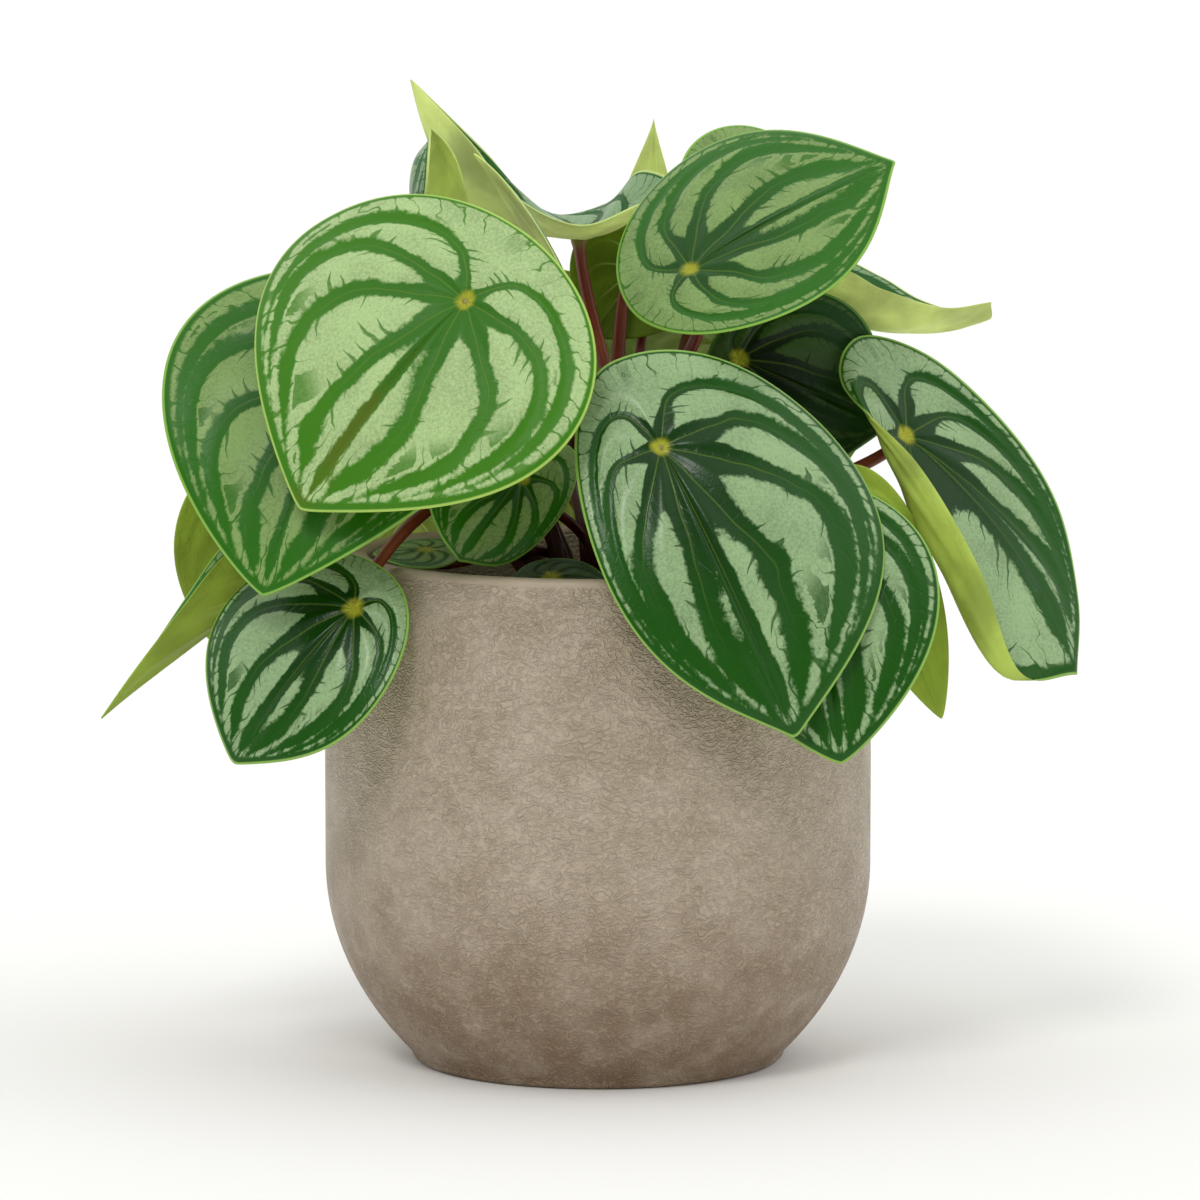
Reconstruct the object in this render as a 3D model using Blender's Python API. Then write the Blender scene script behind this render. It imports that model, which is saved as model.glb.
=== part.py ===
"""Potted peperomia: a bushy house plant with striped shield-shaped leaves, standing in a round pot.

Metres, +Z up. The origin is the middle of the pot's flat base, and the plant's best side faces -Y.
Each leaf is two pieces: a thin blade and the stalk that holds it from underneath. Every stalk grows
out of one short crown in the middle of the soil.
"""
import math

import bpy
import numpy as np
from mathutils import Vector

MM = 0.001
GAP = 0.3 * MM                      # left between pieces that touch in life

# Pot, in metres
POT_BELLY_RADIUS = 72.5 * MM
POT_HEIGHT = 135.5 * MM
POT_WALL = 6.0 * MM
POT_CURVE_TOP = 53.0 * MM           # height where the rounded lower part meets the straight belly
POT_CURVE_WIDTH = 110.0 * MM        # half axes of the ellipse that the lower part follows
POT_CURVE_HEIGHT = 83.0 * MM
POT_SHOULDER = 82.0 * MM            # height where the belly starts to lean in towards the lip
POT_LIP_INSET = 6.1 * MM            # how far the lip stands inside the belly
POT_LIP_ROUND = 1.5 * MM
POT_FOOT_ROUND = 2.5 * MM
POT_FLOOR = 9.0 * MM                # thickness of the bottom
POT_SEGMENTS = 48
POT_CURVE_STEPS = 6
POT_SHOULDER_STEPS = 3

# Soil, which fills the pot from its floor up, and crown
SOIL_LEVEL = 116.0 * MM
SOIL_MOUND = 2.5 * MM               # the soil stands this much higher in the middle
CROWN_RADIUS = 20.0 * MM
CROWN_HEIGHT = 9.0 * MM
CROWN_RINGS = 7
CROWN_SEGMENTS = 40

# Leaves and stalks
BLADE_THICKNESS = 0.9 * MM
BLADE_SPOKES = 20
BLADE_RINGS = 3
STALK_BASE_RADIUS = 2.1 * MM
STALK_TIP_RADIUS = 1.5 * MM
SMALL_STALK = 0.75                  # stalks of the young leaves are this much thinner
STALK_STEPS = 8
SEAT_RADIUS = 16.5 * MM             # the stalks stand within this radius on the crown
GOLDEN_ANGLE = math.radians(137.508)

# Blades that are plain shields, in millimetres and degrees. heart is where the stalk meets the blade,
# tip is the point, and face is roughly the way the upper side looks. back is the length behind the
# heart; left and right are the half widths; widest and point shape the outline. droop bends the blade
# down along its length, and cup bends its left and right halves down (or up, below zero).
SHIELDS = {
    "front_left": dict(heart=(-34, -58, 207), tip=(-76, -66, 154), face=(-3, -9, 3), back=24, left=56,
                       right=46, droop=30, cup=(32, 12), widest=0.42, point=0.5),
    "left": dict(heart=(-65, -38, 183), tip=(-86, -60, 131), face=(-4, -8, 2), back=38, left=50,
                 right=41, droop=30, cup=(-15, 30), widest=0.38, point=0.1),
    "low_left": dict(heart=(-63, -52, 127), tip=(-94, -55, 87), face=(-3, -9, 4), back=13, left=36,
                     right=23, droop=35, cup=(38, 5), widest=0.52, point=0.75),
    "top_right": dict(heart=(24, -30, 213), tip=(77, -22, 240), face=(0, -6, 8), back=19, left=31,
                      right=40, droop=12, cup=(2, 14), widest=0.54, point=0.9),
    "front_right": dict(heart=(16, -64, 170), tip=(50, -84, 98), face=(1, -9, 3), back=27, left=28,
                        right=49, droop=30, cup=(5, 34), widest=0.57, point=0.88),
    "low_right": dict(heart=(52, -57.5, 148), tip=(62, -77, 90), face=(1, -9, 2), back=13, left=32,
                      right=33, droop=25, widest=0.4, point=0.22),
    "shaded_right": dict(heart=(37, -4, 187), tip=(77, -1, 169), face=(1, -9, 0.5), back=8, left=25,
                         right=25, droop=20, cup=(10, 0), widest=0.5, point=0.8),
    "back_left": dict(heart=(-91, 18, 147), tip=(-104, 22, 109), face=(-3, 8, -1), back=16, left=20,
                      right=20, droop=10),
    "strip": dict(heart=(-10, -26, 212), tip=(-32, -21, 242), face=(8, 2, 6), back=12, left=14,
                  right=14, droop=20),
    "spike": dict(heart=(15, 42, 209), tip=(15, 40, 248), face=(0, 9, 2), back=12, left=11, right=7,
                  droop=10, widest=0.3, point=0.3),
    "back_top": dict(heart=(38, 12, 236), tip=(53, 5, 218), face=(0, -5, 8), back=14, left=19,
                     right=19, droop=15),
    "behind_low_right": dict(heart=(70, -37, 145), tip=(89, -44, 97), face=(-2, 9, 1), back=18,
                             left=13, right=10, droop=20),
    "rim_small": dict(heart=(-45, -18, 138), tip=(-59, -18, 137), face=(0, -2, 9), back=10, left=12,
                      right=12, droop=5),
    "centre_shaded": dict(heart=(11, 22, 209), tip=(-2, 18, 191), face=(2, 9, -1), back=13, left=18,
                          right=18, droop=15),
    "inner_low": dict(heart=(-12, -39, 133), tip=(4, -44, 130), face=(0, -5, 8), back=10, left=12,
                      right=10, droop=15),
    "back_1": dict(heart=(-20, 62, 196), tip=(-30, 102, 150), face=(-1, 8, 6), back=20, left=36,
                   right=36, droop=25),
    "back_2": dict(heart=(36, 58, 186), tip=(58, 92, 140), face=(4, 8, 5), back=20, left=34,
                   right=32, droop=25),
    "back_3": dict(heart=(-62, 40, 180), tip=(-92, 68, 140), face=(-6, 6, 5), back=18, left=32,
                   right=32, droop=25),
    "back_4": dict(heart=(-8, 74, 150), tip=(-6, 100, 98), face=(0, 9, 3), back=20, left=27,
                   right=34, droop=25),
    "back_5": dict(heart=(48, 62, 150), tip=(60, 92, 105), face=(3, 9, 3), back=18, left=30,
                   right=25, droop=25),
    "back_6": dict(heart=(-52, 66, 140), tip=(-74, 88, 94), face=(-4, 8, 3), back=18, left=30,
                   right=30, droop=25),
}
SHIELD_DEFAULTS = dict(widest=0.42, point=0.35, cup=(10, 10))

# Blades that are folded or rolled, in millimetres. rim goes once round the edge from the tip, down the
# right side, past the back lobe and up the left side. mid holds the points half way from the heart.
# hollow is how much further the stalk stops below a blade that is cupped right at the heart.
FOLDED = {
    "right": dict(
        heart=(81, -15, 168),
        rim=((125, -32, 107), (126, -20, 125), (121, -8, 149), (108, 0, 169), (88, 2, 187),
             (69, -5, 193), (64, -16, 181), (83, -36, 162), (98, -48, 137), (109, -44, 109)),
        mid=((105, -22, 144), (107, -17, 146), (102, -10, 158), (95, -6, 168), (85, -5, 178),
             (76, -9, 181), (71, -16, 178), (77, -30, 160), (86, -38, 141), (99, -42, 119))),
    "crest": dict(
        heart=(-5, 8, 219),
        rim=((-49, 3, 260), (-34, -6, 245), (-21, -13, 230), (-5, -14, 223), (9, -3, 227),
             (20, 10, 232), (11, 20, 235), (2, 26, 226), (-15, 22, 224), (-29, 8, 240)),
        mid=((-32, 6, 226), (-24, -1, 227), (-14, -3, 223), (-5, -4, 220), (3, 0, 221),
             (8, 9, 223), (4, 15, 224), (-2, 17, 222), (-10, 15, 222), (-23, 9, 228))),
    "hood": dict(
        heart=(-42, 0, 223), hollow=1.2,
        rim=((-44, -15, 249), (-39, -16, 244), (-36, -16, 238), (-34, -14, 229), (-34, -8, 219),
             (-40, 0, 209), (-48, -8, 213), (-48, -20, 222), (-45, -26, 231), (-44, -24, 242)),
        mid=((-41, -4, 238), (-39, -6, 236), (-38, -6, 231), (-37, -5, 226), (-37, -3, 220),
             (-41, 0, 217), (-46, -2, 218), (-49, -8, 223), (-49, -10, 228), (-48, -9, 238))),
    "curled_right": dict(
        heart=(54, 17, 201),
        rim=((104, 8, 201), (103, 15, 196), (87, 26, 200), (76, 32, 206), (61, 32, 212),
             (44, 22, 207), (49, 7, 200), (63, 0, 210), (75, 0, 205), (91, 3, 200)),
        mid=((81, 14, 193), (78, 20, 193), (70, 24, 198), (64, 26, 203), (56, 25, 205),
             (50, 20, 204), (51, 14, 201), (57, 8, 202), (65, 7, 198), (75, 9, 194))),
    "drooping_left": dict(
        heart=(-89, -8, 127),
        rim=((-131, -14, 93), (-122, -20, 106), (-110, -26, 122), (-98, -26, 137), (-88, -20, 142),
             (-81, -8, 138), (-88, 6, 146), (-100, 8, 136), (-110, 6, 122), (-121, -2, 106)),
        mid=((-111, -9, 109), (-107, -14, 114), (-101, -18, 122), (-94, -18, 129), (-88, -14, 133),
             (-85, -8, 133), (-88, 0, 134), (-94, 1, 129), (-102, 0, 121), (-107, -5, 113))),
    "centre_small": dict(
        heart=(-20, -34, 159),
        rim=((-36, -44, 138), (-25, -45, 137), (-15, -43, 143), (-7, -38, 154), (-6, -30, 165),
             (-18, -26, 170), (-31, -26, 170), (-41, -30, 164), (-44, -36, 154), (-41, -42, 145)),
        mid=((-28, -41, 149), (-22, -42, 148), (-17, -41, 151), (-13, -38, 156), (-13, -33, 162),
             (-19, -31, 165), (-25, -31, 165), (-31, -34, 162), (-32, -37, 157), (-31, -40, 152))),
}

YOUNG_LEAVES = ("rim_small", "inner_low", "centre_small", "hood", "strip", "spike")

# A stalk bows this far sideways, in millimetres, where a straight run would meet a neighbour.
BOWS = {
    "front_left": (6, 8, 10),
    "left": (-10, 4, -8),
    "low_left": (3, 8, 32),
    "top_right": (4, -9, 0),
    "back_left": (0, 14, 6),
    "strip": (0, -6, -2),
    "crest": (2, 2, 0),
    "centre_shaded": (-2, 10, 0),
    "curled_right": (0, 8, 0),
    "drooping_left": (-12, 16, 26),
    "rim_small": (0, -9, 4),
    "low_right": (0, -3, 0),
    "back_6": (-10, -2, 28),
}

# Stalks that start elsewhere on the crown than on their leaf's own side, in millimetres.
CROSSING_SEATS = {
    "top_right": (-14, -4),
}

# Colour, roughness and metallic value of each material
MATERIALS = {
    "pot_glaze": ((0.30, 0.25, 0.21), 0.55, 0.0),
    "potting_soil": ((0.045, 0.030, 0.022), 0.95, 0.0),
    "crown_bark": ((0.16, 0.07, 0.045), 0.75, 0.0),
    "leaf_blade": ((0.10, 0.26, 0.09), 0.40, 0.0),
    "leaf_stalk": ((0.22, 0.035, 0.025), 0.45, 0.0),
}


def clear_scene():
    """Remove every object that the file opened with."""
    for item in list(bpy.data.objects):
        bpy.data.objects.remove(item, do_unlink=True)


def make_material(name):
    """Build one plain Principled material from its entry in MATERIALS."""
    colour, roughness, metallic = MATERIALS[name]
    material = bpy.data.materials.new(name)
    material.use_nodes = True
    shader = material.node_tree.nodes["Principled BSDF"]
    shader.inputs["Base Color"].default_value = (*colour, 1.0)
    shader.inputs["Roughness"].default_value = roughness
    shader.inputs["Metallic"].default_value = metallic
    return material


def add_object(name, data, material):
    """Link an object that shows the data in the material."""
    piece = bpy.data.objects.new(name, data)
    piece.data.materials.append(material)
    bpy.context.collection.objects.link(piece)
    return piece


def turned_piece(name, profile, segments, material):
    """Turn a closed profile of (radius, height) points, whose ends lie on the axis, about Z."""
    corners = []
    rings = []
    for radius, height in profile:
        if radius == 0.0:
            rings.append([len(corners)] * segments)
            corners.append((0.0, 0.0, height))
            continue
        rings.append(range(len(corners), len(corners) + segments))
        for step in range(segments):
            angle = 2.0 * math.pi * step / segments
            corners.append((radius * math.cos(angle), radius * math.sin(angle), height))
    faces = []
    for lower, upper in zip(rings, rings[1:]):
        for step in range(segments):
            after = (step + 1) % segments
            face = (lower[step], lower[after], upper[after], upper[step])
            faces.append(tuple(dict.fromkeys(face)))
    mesh = bpy.data.meshes.new(name)
    mesh.from_pydata(corners, [], faces)
    mesh.shade_smooth()
    mesh.set_sharp_from_angle(angle=math.radians(40.0))
    return add_object(name, mesh, material)


def pot_radius(height):
    """Outer radius of the pot at a height."""
    if height < POT_CURVE_TOP:
        rise = (POT_CURVE_TOP - height) / POT_CURVE_HEIGHT
        return POT_BELLY_RADIUS - POT_CURVE_WIDTH * (1.0 - math.sqrt(1.0 - rise * rise))
    if height > POT_SHOULDER:
        lean = (height - POT_SHOULDER) / (POT_HEIGHT - POT_SHOULDER)
        return POT_BELLY_RADIUS - POT_LIP_INSET * lean * lean
    return POT_BELLY_RADIUS


def wall_heights():
    """Heights of the rings that the pot's wall is built from, the lowest first."""
    curve = [POT_FOOT_ROUND + (POT_CURVE_TOP - POT_FOOT_ROUND) * step / POT_CURVE_STEPS
             for step in range(POT_CURVE_STEPS + 1)]
    lip_base = POT_HEIGHT - POT_LIP_ROUND
    shoulder = [POT_SHOULDER + (lip_base - POT_SHOULDER) * step / POT_SHOULDER_STEPS
                for step in range(POT_SHOULDER_STEPS + 1)]
    return curve + shoulder


def cavity_rings():
    """Rings (radius, height) of the pot's inside, from the edge of its floor up to the lip."""
    rings = [(pot_radius(POT_FLOOR) - POT_WALL, POT_FLOOR)]
    for height in wall_heights():
        if height > POT_FLOOR + POT_WALL:
            rings.append((pot_radius(height) - POT_WALL, height))
    return rings


def make_pot(material):
    """A thick-walled bowl: flat foot, round lower part, straight belly and a lip that leans in."""
    outside = [(pot_radius(height), height) for height in wall_heights()]
    lip_radius = outside[-1][0]
    foot = (pot_radius(0.0) - POT_FOOT_ROUND, 0.0)
    lip_outer = (lip_radius - POT_LIP_ROUND, POT_HEIGHT)
    lip_inner = (lip_radius - POT_WALL + POT_LIP_ROUND, POT_HEIGHT)
    inside = reversed(cavity_rings())
    profile = [(0.0, 0.0), foot, *outside, lip_outer, lip_inner, *inside, (0.0, POT_FLOOR)]
    return turned_piece("pot", profile, POT_SEGMENTS, material)


def make_soil(material):
    """The ball of potting mix: it fills the pot up to SOIL_LEVEL and is slightly mounded."""
    wall = [(radius - GAP, height) for radius, height in cavity_rings() if height < SOIL_LEVEL]
    floor = POT_FLOOR + GAP
    wall[0] = (wall[0][0], floor)
    top_radius = pot_radius(SOIL_LEVEL) - POT_WALL - 2.0 * GAP
    mound = SOIL_LEVEL + SOIL_MOUND
    profile = [(0.0, floor), *wall, (top_radius, SOIL_LEVEL), (CROWN_RADIUS + 2.0 * MM, mound), (0.0, mound)]
    return turned_piece("soil", profile, POT_SEGMENTS, material)


def crown_height(radius):
    """Height of the crown's surface at a radius."""
    return SOIL_LEVEL + SOIL_MOUND + GAP + CROWN_HEIGHT * math.sqrt(1.0 - (radius / CROWN_RADIUS) ** 2)


def make_crown(material):
    """The low woody dome that every stalk grows from."""
    floor = SOIL_LEVEL + SOIL_MOUND + GAP
    profile = [(0.0, floor), (CROWN_RADIUS, floor)]
    for ring in range(1, CROWN_RINGS):
        radius = CROWN_RADIUS * math.cos(0.5 * math.pi * ring / CROWN_RINGS)
        profile.append((radius, crown_height(radius)))
    profile.append((0.0, crown_height(0.0)))
    return turned_piece("crown", profile, CROWN_SEGMENTS, material)


def unit(vector):
    """The vector at length one."""
    return vector / np.linalg.norm(vector)


def shield_axes(leaf):
    """Directions along, across and up from the heart of a shield blade, and its length to the tip."""
    heart = np.array(leaf["heart"], float)
    chord = np.array(leaf["tip"], float) - heart
    span = np.linalg.norm(chord)
    forward = chord / span
    face = np.array(leaf["face"], float)
    up = unit(face - np.dot(face, forward) * forward)
    across = np.cross(up, forward)
    half = math.radians(leaf["droop"]) / 2.0
    along = math.cos(half) * forward + math.sin(half) * up
    normal = math.cos(half) * up - math.sin(half) * forward
    return along, across, normal, span * half / math.sin(half)


def shield_outline(leaf, angle, length):
    """Flat point on the edge: angle 0 is the tip, half a turn is the back lobe."""
    share = (1.0 + math.cos(angle)) / 2.0
    side = 1.0 if math.sin(angle) >= 0.0 else -1.0
    width = leaf["right"] if side > 0.0 else leaf["left"]
    widest = leaf["widest"]
    taper = 0.5 * (1.0 - widest) / widest
    swell = math.sqrt(share / widest) * (max(1.0 - share, 0.0) / (1.0 - widest)) ** taper
    pinch = (1.0 - leaf["point"] * share ** 6) / (1.0 - leaf["point"] * widest ** 6)
    return -leaf["back"] + (length + leaf["back"]) * share, side * width * swell * pinch


def arc(bend, distance):
    """Run and drop of a point that lies a distance along an arc with this bend for each unit."""
    if abs(bend) < 1e-6:
        return distance, 0.0
    return math.sin(bend * distance) / bend, (math.cos(bend * distance) - 1.0) / bend


def shield_point(leaf, share, angle):
    """Point of the upper face, a share of the way from the heart to the edge at an angle."""
    along, across, normal, length = shield_axes(leaf)
    x, y = shield_outline(leaf, angle, length)
    x *= share
    y *= share
    width, cup = (leaf["right"], leaf["cup"][1]) if y >= 0.0 else (leaf["left"], leaf["cup"][0])
    sideways, drop = arc(math.radians(cup) / width, abs(y))
    bend = math.radians(leaf["droop"]) / length if x >= 0.0 else 0.0
    run, sag = arc(bend, x)
    turn = bend * x
    run += drop * math.sin(turn)
    sag += drop * math.cos(turn)
    return np.array(leaf["heart"]) + run * along + math.copysign(sideways, y) * across + sag * normal


def loop_point(points, angle):
    """Point on a smooth curve through the points, which starts and ends at the first of them."""
    knots = np.array([*points, points[0]], float)
    slopes = np.gradient(knots, axis=0)
    place = (angle / (2.0 * math.pi)) * len(points)
    first = min(int(place), len(points) - 1)
    f = place - first
    return (knots[first] * (1.0 + 2.0 * f) * (1.0 - f) ** 2 + slopes[first] * f * (1.0 - f) ** 2
            + knots[first + 1] * f * f * (3.0 - 2.0 * f) - slopes[first + 1] * f * f * (1.0 - f))


def folded_normal(leaf):
    """The way the upper face of a folded blade looks at its heart."""
    heart = np.array(leaf["heart"], float)
    slopes = 4.0 * (np.array(leaf["mid"]) - heart) - (np.array(leaf["rim"]) - heart)
    return unit(np.cross(slopes, np.roll(slopes, -1, axis=0)).sum(axis=0))


def folded_point(leaf, share, angle):
    """Point of the upper face of a folded blade, which leaves the heart flat and runs by mid to rim."""
    heart = np.array(leaf["heart"], float)
    normal = folded_normal(leaf)
    middle = loop_point(leaf["mid"], angle) - heart
    edge = loop_point(leaf["rim"], angle) - heart
    slope = 4.0 * middle - edge
    slope -= np.dot(slope, normal) * normal
    curl = 8.0 * middle - edge - 3.0 * slope
    return heart + share * slope + share ** 2 * curl + share ** 3 * (edge - slope - curl)


def blade_point(leaf, share, angle):
    """Point of a blade's upper face in millimetres."""
    if "rim" in leaf:
        return folded_point(leaf, share, angle)
    return shield_point(leaf, share, angle)


def heart_normal(leaf):
    """The way the upper face looks at the heart."""
    near = 0.15
    tip, right, back, left = (blade_point(leaf, near, turn * math.pi / 2.0) for turn in range(4))
    return unit(np.cross(left - right, tip - back))


def make_blade(name, leaf, material):
    """A leaf blade: rings of points round the heart, thickened downwards."""
    corners = [np.array(leaf["heart"], float)]
    for ring in range(1, BLADE_RINGS + 1):
        for spoke in range(BLADE_SPOKES):
            angle = 2.0 * math.pi * spoke / BLADE_SPOKES
            corners.append(blade_point(leaf, ring / BLADE_RINGS, angle))
    faces = []
    for spoke in range(BLADE_SPOKES):
        after = (spoke + 1) % BLADE_SPOKES
        faces.append((0, 1 + spoke, 1 + after))
        for ring in range(BLADE_RINGS - 1):
            inner = 1 + ring * BLADE_SPOKES
            outer = inner + BLADE_SPOKES
            faces.append((inner + after, inner + spoke, outer + spoke, outer + after))
    mesh = bpy.data.meshes.new(name)
    mesh.from_pydata([tuple(corner * MM) for corner in corners], [], faces)
    mesh.shade_smooth()
    blade = add_object(name, mesh, material)
    thicken = blade.modifiers.new("Thickness", "SOLIDIFY")
    thicken.thickness = BLADE_THICKNESS
    thicken.offset = -1.0
    return blade


def crown_seats(count):
    """Places on the crown, spread like the seeds of a sunflower."""
    seats = []
    for index in range(count):
        radius = SEAT_RADIUS * math.sqrt((index + 0.5) / count)
        angle = GOLDEN_ANGLE * index
        seats.append(Vector((radius * math.cos(angle), radius * math.sin(angle), crown_height(radius))))
    return seats


def assign_seats(leaves):
    """Give each stalk, the furthest leaf first, the free seat nearest to the way it leans."""
    free = crown_seats(len(leaves))
    chosen = {}
    for name in sorted(leaves, key=lambda key: -math.hypot(*leaves[key]["heart"][:2])):
        heart = Vector(leaves[name]["heart"][:2]) * MM
        wish = heart * (SEAT_RADIUS / max(heart.length, POT_BELLY_RADIUS))
        if name in CROSSING_SEATS:
            wish = Vector(CROSSING_SEATS[name]) * MM
        seat = min(free, key=lambda place: (place.xy - wish).length)
        free.remove(seat)
        chosen[name] = seat
    return chosen


def crown_normal(seat):
    """The way the crown's surface looks at a seat."""
    rise = seat.z - crown_height(CROWN_RADIUS)
    flatness = (CROWN_RADIUS / CROWN_HEIGHT) ** 2
    return Vector((seat.x, seat.y, rise * flatness)).normalized()


def stalk_end(place, away, heading, radius):
    """Middle of a stalk's end that stands the gap off a surface, however far the end is tilted."""
    tilt = heading.normalized().cross(away).length
    return place + away * (GAP + tilt * radius)


def make_stalk(name, leaf, seat, bow, size, material):
    """A round tapering stalk that leaves the crown upright and meets the blade from underneath."""
    outward = crown_normal(seat)
    below = Vector(heart_normal(leaf)) * -1.0
    underside = Vector(leaf["heart"]) * MM + below * (BLADE_THICKNESS + leaf.get("hollow", 0.0) * MM)
    reach = (underside - seat).length
    sideways = Vector(bow) * MM
    departure = outward * (0.4 * reach) + sideways
    approach = below * (0.3 * reach) + sideways
    start = stalk_end(seat, outward, departure, size * STALK_BASE_RADIUS)
    end = stalk_end(underside, below, approach, size * STALK_TIP_RADIUS)
    curve = bpy.data.curves.new(name, "CURVE")
    curve.dimensions = "3D"
    curve.bevel_depth = 1.0 * MM
    curve.bevel_resolution = 1
    curve.use_fill_caps = True
    curve.resolution_u = STALK_STEPS
    curve.render_resolution_u = STALK_STEPS
    spline = curve.splines.new("BEZIER")
    spline.bezier_points.add(1)
    root, top = spline.bezier_points
    root.co = start
    root.handle_right = start + departure
    root.handle_left = start - 0.25 * departure
    root.radius = size * STALK_BASE_RADIUS / MM
    top.co = end
    top.handle_left = end + approach
    top.handle_right = end - 0.3 * approach
    top.radius = size * STALK_TIP_RADIUS / MM
    return add_object(name, curve, material)


def build():
    """Build every piece of the plant and its pot."""
    clear_scene()
    materials = {name: make_material(name) for name in MATERIALS}
    make_pot(materials["pot_glaze"])
    make_soil(materials["potting_soil"])
    make_crown(materials["crown_bark"])
    leaves = {name: SHIELD_DEFAULTS | leaf for name, leaf in SHIELDS.items()} | FOLDED
    seats = assign_seats(leaves)
    for name, leaf in leaves.items():
        size = SMALL_STALK if name in YOUNG_LEAVES else 1.0
        make_blade("leaf_" + name, leaf, materials["leaf_blade"])
        make_stalk("stalk_" + name, leaf, seats[name], BOWS.get(name, (0, 0, 0)), size,
                   materials["leaf_stalk"])


build()
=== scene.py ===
"""Looks of the potted peperomia: fine leaf blades with their striped pattern, stalks, soil and pot.

Metres, +Z up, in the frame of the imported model. Leaf tables are in millimetres and degrees.
"""
import math

import bpy
import numpy as np
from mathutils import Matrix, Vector, noise


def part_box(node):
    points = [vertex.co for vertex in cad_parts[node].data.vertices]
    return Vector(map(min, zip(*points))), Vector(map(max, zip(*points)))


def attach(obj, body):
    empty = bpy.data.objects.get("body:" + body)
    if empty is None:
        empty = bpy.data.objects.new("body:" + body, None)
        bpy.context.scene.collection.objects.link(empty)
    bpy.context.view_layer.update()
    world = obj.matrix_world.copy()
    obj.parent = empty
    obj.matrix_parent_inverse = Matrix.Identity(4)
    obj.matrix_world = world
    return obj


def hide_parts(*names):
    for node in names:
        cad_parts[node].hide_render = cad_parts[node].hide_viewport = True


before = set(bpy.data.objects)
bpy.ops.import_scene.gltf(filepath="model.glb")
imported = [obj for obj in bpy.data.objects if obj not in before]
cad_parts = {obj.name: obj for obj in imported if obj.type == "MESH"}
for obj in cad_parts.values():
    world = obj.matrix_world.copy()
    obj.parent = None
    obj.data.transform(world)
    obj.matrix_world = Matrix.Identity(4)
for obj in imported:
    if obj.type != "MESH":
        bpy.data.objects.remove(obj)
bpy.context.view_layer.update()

MM = 0.001
GAP = 0.3 * MM

# Pot: the frame gives its widest radius and its height
POT_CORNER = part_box("pot")[1]
POT_BELLY_RADIUS = POT_CORNER.x
POT_HEIGHT = POT_CORNER.z
POT_WALL = 6.0 * MM
POT_CURVE_TOP = 53.0 * MM
POT_CURVE_WIDTH = 110.0 * MM
POT_CURVE_HEIGHT = 83.0 * MM
POT_SHOULDER = 82.0 * MM
POT_LIP_INSET = 6.1 * MM
POT_LIP_ROUND = 1.5 * MM
POT_FOOT_ROUND = 2.5 * MM
POT_FLOOR = 9.0 * MM
POT_SEGMENTS = 192
POT_CURVE_STEPS = 26
POT_SHOULDER_STEPS = 14
ROUND_STEPS = 5

# Soil and crown
SOIL_LEVEL = 116.0 * MM
SOIL_MOUND = 2.5 * MM
SOIL_DEPTH = 20.0 * MM
SOIL_RINGS = 34
SOIL_SEGMENTS = 120
LUMP_SIZE = 7.0 * MM
LUMP_HEIGHT = 1.1 * MM
CRUMBS = 420
CRUMB_SIZES = (0.6 * MM, 1.9 * MM)
CROWN_RADIUS = 20.0 * MM
CROWN_HEIGHT = 9.0 * MM

# Leaves and stalks
BLADE_THICKNESS = 0.9 * MM
EDGE_THICKNESS = 0.45 * MM
BLADE_SPOKES = 128
BLADE_RINGS = 28
STALK_BASE_RADIUS = 2.1 * MM
STALK_TIP_RADIUS = 1.5 * MM
SMALL_STALK = 0.75
STALK_STEPS = 40
STALK_SIDES = 14
SEAT_RADIUS = 16.5 * MM
GOLDEN_ANGLE = math.radians(137.508)

# Relief of a large leaf, in millimetres; a smaller one's is smaller in proportion
LARGE_LEAF_RADIUS = 45.0
QUILTING = 0.8
HEART_DIMPLE = 0.9

# Veins: how many leave the heart in half a turn, the last one that is drawn on each side of the midrib,
# and how strongly they bend towards the tip
VEINS = 4.4
LAST_VEIN = 4.0
VEIN_BEND = 0.8
VEIN_BEND_POWER = 5.0

# Striped pattern: noise scales are for each metre; widths and distances are shares of the leaf's radius
WOBBLE_SCALE = 38.0
CLOUD_SCALE = 40.0
COARSE_SCALE = 260.0
FINE_SCALE = 900.0
GRAIN_SCALE = 1500.0
WOBBLE = 0.6
OPENING_SPREAD = 0.14
OPENING_LENGTH = 0.26
HEART_WIDENING = 0.045
MARGIN_NARROWING = 0.04
MARGIN_ZONE = (0.84, 0.96)
BAND_EDGE = (-0.006, 0.012)
GREEN_RIM = (0.032, 0.052)
LINE_DEPTH = 0.85
SEED_STEP = 3.7

# Side veins: how many there are from heart to margin, how much they slant, how far they reach across a
# silver band, and where they end. Cross veins: how many cut the outer silver in half a turn, how much they
# wander, and where they begin.
SIDE_VEINS = 15.0
SIDE_SLANT = 1.6
SIDE_LENGTH = 0.16
SIDE_LENGTH_SPREAD = 0.34
SIDE_ZONE = (0.7, 0.8)
CROSS_VEINS = 23.0
CROSS_WOBBLE = 2.6
CROSS_WOBBLE_SCALE = 110.0
CROSS_ZONE = (0.66, 0.8)

# Lines and spots of the pattern, in millimetres
PALE_MARGIN = (0.25, 0.75)
VEIN_LINE = (0.08, 0.4)
HEART_SPOT = (1.2, 3.4)

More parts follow.
